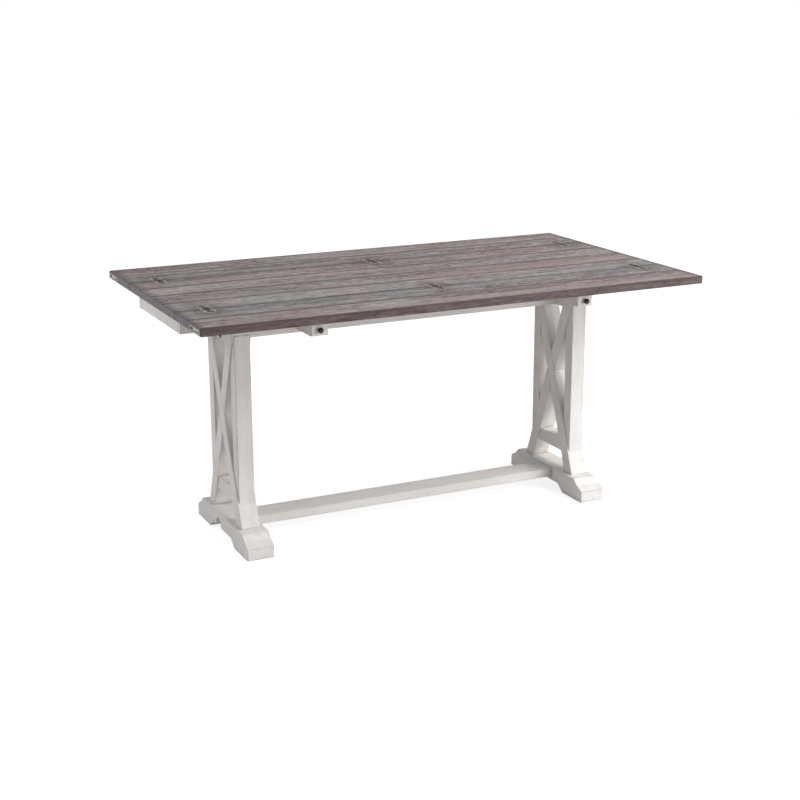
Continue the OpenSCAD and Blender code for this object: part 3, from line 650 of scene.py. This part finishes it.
def catch_metal():
    finish = Finish("antiqued_catch")
    x, y, z = finish.parts(finish.place)
    along = abs(abs(y) - catch_y)
    past = (along - (catch_half - catch_high_half)).most(0)
    inset = catch_high_half - (past ** 2 + (z - catch_z) ** 2) ** 0.5
    clouds = finish.noise(finish.place, 210.0, 4, 0.65)
    # Painted highlight along the plate's outline.
    rim = finish.smooth(inset + (clouds - 0.5) * 0.003, 0.0026, 0.0012)
    colour = finish.mix(finish.smooth(clouds, 0.35, 0.65), catch_dark, catch_light)
    colour = finish.mix(rim * 0.85, colour, catch_rim_highlight)
    finish.set(Base_Color=colour, Metallic=0.7 - rim * 0.2)
    finish.set(Roughness=0.5 - rim * 0.1 + (clouds - 0.5) * 0.2)
    finish.set(Normal=finish.bump(clouds, 0.15, 0.0001))
    return finish.material


# %% [markdown]
# The record calls all of a hinge's small parts bronze and both kinds of plate steel. The catches
# and the hinges' links, pins and screws get their own finish here.

# %% Metals on their pieces
black_steel = ((9, 8, 8), (22, 20, 19), (120, 116, 112), 0.6, 0.1, 0.2, 0.15)
bronze = ((40, 31, 29), (84, 70, 66), (120, 108, 102), 0.36, 0.2)
zinc = ((170, 171, 173), (196, 197, 199), (220, 220, 221), 0.36, 0.1)
metals = {
    "hinge_steel": hinge_metal(),
    "dark_bronze": aged_metal("dark_bronze", *bronze),
    "plated_steel": aged_metal("zinc_plate", *zinc),
    "catch_steel": catch_metal(),
    "blackened_steel": aged_metal("blackened_steel", *black_steel),
}
for slot in ("hinge_steel", "dark_bronze", "plated_steel"):
    for name in nodes_of(slot):
        metal = slot
        if name.endswith("_catches"):
            metal = "catch_steel"
        elif "_hinge_" in name and not name.endswith("_plates"):
            metal = "blackened_steel"
        dress(name, metals[metal])
print("metals", sorted(metals))

# %% [markdown]
# The glides under the feet are moulded nylon: even in colour, finely pitted, and scuffed by floors.

# %% Nylon
nylon_white, nylon_scuffed = linear(222, 220, 213), linear(178, 174, 165)


def moulded_nylon():
    finish = Finish("moulded_nylon")
    specks = finish.noise(finish.place, 1400.0, 2, 0.5)
    scuffs = finish.stretched(finish.place, (260, 900, 40), 3, 0.6)
    worn = finish.smooth(scuffs, 0.55, 0.7)
    finish.set(Base_Color=finish.mix(worn * 0.5, nylon_white, nylon_scuffed))
    finish.set(Roughness=0.45 + worn * 0.2, Normal=finish.bump(specks, 0.1, 0.0001))
    return finish.material


dress("floor_glides", moulded_nylon())
print("nylon on the glides")

# %% [markdown]
# ## Screws and bolts
#
# The model's screws and bolts have plain heads. They are made again here with the recess that the
# driver or the key fits, one bolt or screw as a pattern and then a copy at each place. The places
# are read from the model: a node's mesh is split into its separate solids, and each gives its box.

# %% Solids of a node
def solids_of(node):
    """The lowest and highest corners of each separate solid, in the order of x and then y."""
    bm = bmesh.new()
    bm.from_mesh(frame["nodes"][node].data)
    bmesh.ops.remove_doubles(bm, verts=bm.verts, dist=1e-6)
    boxes = []
    left = set(bm.verts)
    while left:
        found = [left.pop()]
        for vert in found:
            for edge in vert.link_edges:
                other = edge.other_vert(vert)
                if other in left:
                    left.remove(other)
                    found.append(other)
        spans = [(min(along), max(along)) for along in zip(*(vert.co for vert in found))]
        boxes.append(tuple(Vector(ends) for ends in zip(*spans)))
    bm.free()
    return sorted(boxes, key=lambda box: (round(box[0].x, 4), round(box[0].y, 4)))


# %% [markdown]
# Both patterns start with the face of the recess, a cross or a hexagon, and a circle round it.
# Bridging the two gives the flat of the head with no lathe work, and pushing the inner face down
# makes the recess. The circle's edge is then drawn down in steps, wider or narrower, like a stack
# of rings, and the last ring is closed.

# %% Heads, recesses and shanks
head_sides = 24


def open_edges(bm):
    return [edge for edge in bm.edges if len(edge.link_faces) == 1]


def ringed(bm, radius):
    """A flat rim from the recess's outline out to a circle. The circle's edges come back."""
    outline = open_edges(bm)
    bmesh.ops.bisect_edges(bm, edges=outline, cuts=head_sides // len(outline) - 1)
    outline = open_edges(bm)
    bmesh.ops.create_circle(bm, segments=head_sides, radius=radius)
    ring = [edge for edge in bm.edges if not edge.link_faces]
    bmesh.ops.bridge_loops(bm, edges=outline + ring)
    return ring


def made_verts(geom):
    return [item for item in geom if isinstance(item, bmesh.types.BMVert)]


def sunk(bm, faces, deep, taper):
    """Push the faces of the recess down and draw them together."""
    verts = made_verts(bmesh.ops.extrude_face_region(bm, geom=faces)["geom"])
    bmesh.ops.scale(bm, vec=(taper, taper, 1), verts=verts)
    bmesh.ops.translate(bm, vec=(0, 0, -deep), verts=verts)


def drawn_down(bm, ring, radius, steps):
    """Each step is the next ring's radius and how far below the last one it lies."""
    for next_radius, drop in steps:
        made = bmesh.ops.extrude_edge_only(bm, edges=ring)["geom"]
        verts = made_verts(made)
        ring = [item for item in made if isinstance(item, bmesh.types.BMEdge)]
        grow = next_radius / radius
        bmesh.ops.scale(bm, vec=(grow, grow, 1), verts=verts)
        bmesh.ops.translate(bm, vec=(0, 0, -drop), verts=verts)
        radius = next_radius
    bmesh.ops.holes_fill(bm, edges=ring, sides=head_sides)


def finished_mesh(bm, name):
    mesh = bpy.data.meshes.new(name)
    bm.to_mesh(mesh)
    bm.free()
    return mesh


# %% [markdown]
# The hinge screws are countersunk, with a cross recess. The cross is a grid of nine faces with its
# middle lines drawn together and its corners left out.

# %% Cross screw
screw_head, screw_shank = 0.0041, 0.002
screw_cone, screw_length, screw_point = 0.0021, 0.015, 0.003
cross_half, cross_arm, cross_deep = 0.0025, 0.0007, 0.0014

bm = bmesh.new()
grid = bmesh.ops.create_grid(bm, x_segments=3, y_segments=3, size=cross_half)["verts"]
for axis in (0, 1):
    closer = [1, 1, 1]
    closer[axis] = cross_arm / (cross_half / 3)
    middle_lines = [vert for vert in grid if abs(vert.co[axis]) < cross_half * 0.6]
    bmesh.ops.scale(bm, vec=closer, verts=middle_lines)
centres = {face: face.calc_center_median() for face in bm.faces}
corners = [face for face, at in centres.items() if min(abs(at.x), abs(at.y)) > cross_half * 0.4]
bmesh.ops.delete(bm, geom=corners, context="FACES")
cross = list(bm.faces)
rim = ringed(bm, screw_head)
sunk(bm, cross, cross_deep, 0.6)
drawn_down(bm, rim, screw_head, [
    (screw_shank, screw_cone),
    (screw_shank, screw_length - screw_point - screw_cone),
    (screw_shank * 0.2, screw_point),
])
bmesh.ops.recalc_face_normals(bm, faces=bm.faces)
screw_pattern = finished_mesh(bm, "screw_pattern")
print("cross screw", len(screw_pattern.polygons), "faces")

# %% [markdown]
# The bolts have a round head with a hexagon socket, and a washer under the head. Head, washer and
# shank are one stack of rings, and the head's upper edge is bevelled.

# %% Socket bolt
socket_radius, socket_deep = 0.0029, 0.0026
bolt_head, bolt_head_high, bolt_ease = 0.0055, 0.0045, 0.0007
washer_radius, washer_thick, bolt_shank = 0.007, 0.0016, 0.003


def bolt_pattern(length):
    bm = bmesh.new()
    bmesh.ops.create_circle(bm, segments=6, radius=socket_radius, cap_ends=True)
    socket = list(bm.faces)
    rim = ringed(bm, bolt_head)
    sunk(bm, socket, socket_deep, 0.94)
    drawn_down(bm, rim, bolt_head, [
        (bolt_head, bolt_head_high),
        (washer_radius, 0),
        (washer_radius, washer_thick),
        (bolt_shank, 0),
        (bolt_shank, length - bolt_head_high - washer_thick),
    ])
    bmesh.ops.recalc_face_normals(bm, faces=bm.faces)
    upper = {"offset": bolt_ease, "segments": 3, "profile": 0.5, "material": -1}
    bmesh.ops.bevel(bm, geom=rim, affect="EDGES", **upper)
    return finished_mesh(bm, "bolt_pattern")


# %% [markdown]
# A copy of the pattern goes to each place. All copies of one node become one object, which rides
# with that node's body and stands in for it. Nobody drives screws to the same angle, so each copy
# is turned by a golden share of a circle more than the last.

# %% Copies at their places
golden_turn = 2.39996


def stamped(name, pattern, spots, body, metal):
    """spots are matrices that take the pattern, head up at the origin, to its place."""
    bm = bmesh.new()
    for count, spot in enumerate(spots):
        first = len(bm.verts)
        bm.from_mesh(pattern)
        bm.verts.ensure_lookup_table()
        driven = spot @ Matrix.Rotation(count * golden_turn, 4, "Z")
        bmesh.ops.transform(bm, matrix=driven, verts=bm.verts[first:])
    mesh = finished_mesh(bm, name)
    mesh.materials.append(metals[metal])
    piece = bpy.data.objects.new(name, mesh)
    bpy.context.scene.collection.objects.link(piece)
    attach(piece, body)
    print(name, len(spots), "copies")
    return piece


# %% [markdown]
# The screws stand upright, with their heads flush in the hinge plates.

# %% Hinge screws
screw_bodies = {
    "fixed_hinge_screws": "frame",
    "front_hinge_screws": "front_leaf_body",
    "back_hinge_screws": "back_leaf_body",
}
for node, body in screw_bodies.items():
    spots = []
    for low, high in solids_of(node):
        centre = (low + high) / 2
        spots.append(Matrix.Translation((centre.x, centre.y, high.z)))
    piece = stamped("cross_" + node, screw_pattern, spots, body, "blackened_steel")
    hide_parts(node)

# %% [markdown]
# The bolts lie along the table, with their heads outwards at both ends of a beam.

# %% Beam and stretcher bolts
for node in ("beam_bolts", "stretcher_bolts"):
    spots = []
    for low, high in solids_of(node):
        centre = (low + high) / 2
        outward = 1 if centre.x > 0 else -1
        outer_end = high.x if outward > 0 else low.x
        place = Matrix.Translation((outer_end, centre.y, centre.z))
        spots.append(place @ Matrix.Rotation(outward * pi / 2, 4, "Y"))
    pattern = bolt_pattern(high.x - low.x)
    piece = stamped("socket_" + node, pattern, spots, "frame", "dark_bronze")
    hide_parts(node)

# %% [markdown]
# ## Floor, light and camera
#
# A product picture is lit plainly. The floor is pale, and only the camera and shiny metal see it
# glow, so that it comes out white and still takes the table's shadow.

# %% Floor
floor_size = 60.0
floor_glow = 0.76

bm = bmesh.new()
bmesh.ops.create_grid(bm, x_segments=1, y_segments=1, size=floor_size / 2)
floor = bpy.data.objects.new("floor", finished_mesh(bm, "floor"))
bpy.context.scene.collection.objects.link(floor)

floor_finish = Finish("pale_floor")
seen = floor_finish.node("ShaderNodeLightPath", out="Is Camera Ray")
shiny = floor_finish.node("ShaderNodeLightPath", out="Is Glossy Ray")
floor_finish.set(Base_Color=linear(208, 208, 208), Roughness=0.9, Emission_Color=(1, 1, 1, 1))
floor_finish.set(Emission_Strength=seen.most(shiny) * floor_glow)
floor.data.materials.append(floor_finish.material)

# %% [markdown]
# The world is white to the camera and in reflections, and gives the table only a weak light from
# all round.

# %% World
world_light = 0.28
world = bpy.data.worlds.new("studio")
bpy.context.scene.world = world
world.use_nodes = True
background = world.node_tree.nodes["Background"]
path = world.node_tree.nodes.new("ShaderNodeLightPath")
seen = world.node_tree.nodes.new("ShaderNodeMath")
seen.operation = "MAXIMUM"
strength = world.node_tree.nodes.new("ShaderNodeMapRange")
strength.inputs["To Min"].default_value = world_light
strength.inputs["To Max"].default_value = 1.0
world.node_tree.links.new(path.outputs["Is Camera Ray"], seen.inputs[0])
world.node_tree.links.new(path.outputs["Is Glossy Ray"], seen.inputs[1])
world.node_tree.links.new(seen.outputs[0], strength.inputs["Value"])
world.node_tree.links.new(strength.outputs["Result"], background.inputs["Strength"])
background.inputs["Color"].default_value = (1, 1, 1, 1)

# %% [markdown]
# Three round, soft lamps light the table: a big one on the right above, a weaker one low in front,
# and a weak one over the left end.

# %% Lamps
def soft_lamp(name, place, aim, size, watts):
    lamp = bpy.data.lights.new(name, "AREA")
    lamp.shape = "DISK"
    lamp.size = size
    lamp.energy = watts
    holder = bpy.data.objects.new(name, lamp)
    holder.location = place
    holder.rotation_euler = (Vector(aim) - Vector(place)).to_track_quat("-Z", "Y").to_euler()
    bpy.context.scene.collection.objects.link(holder)


table_middle = (0, 0, 0.4)
left_end = (-0.8, 0, 0.4)
soft_lamp("key_lamp", (2.6, -2.4, 3.4), table_middle, 2.4, 140)
soft_lamp("low_lamp", (2.2, -3.6, 1.5), table_middle, 2.0, 48)
soft_lamp("end_lamp", (-2.2, 0.4, 1.3), left_end, 1.0, 7.5)

# %% [markdown]
# The camera stands where the photographer stood: in front and to the left, looking a little down.
# Its axes are written as a turn about the upright, a tilt and a very small roll.

# %% Camera
camera_place = Vector((-1.994326, -4.130163, 1.660343))
turned = radians(-25.658)
tilted = radians(15.805)
rolled = radians(-0.189)
focal_length = 66.947

ahead = Vector((-sin(turned) * cos(tilted), cos(turned) * cos(tilted), -sin(tilted)))
level = Vector((cos(turned), sin(turned), 0))
upward = level.cross(ahead)
right = cos(rolled) * level + sin(rolled) * upward
above = cos(rolled) * upward - sin(rolled) * level
axes = Matrix((right, above, -ahead)).transposed().to_4x4()
camera = bpy.data.objects.new("camera", bpy.data.cameras.new("camera"))
camera.data.lens = focal_length
camera.data.clip_end = 100
camera.matrix_world = Matrix.Translation(camera_place) @ axes
bpy.context.scene.collection.objects.link(camera)
bpy.context.scene.camera = camera
bpy.context.scene.view_settings.view_transform = "Standard"
print("camera", [round(c, 3) for c in camera_place], "lens", focal_length)
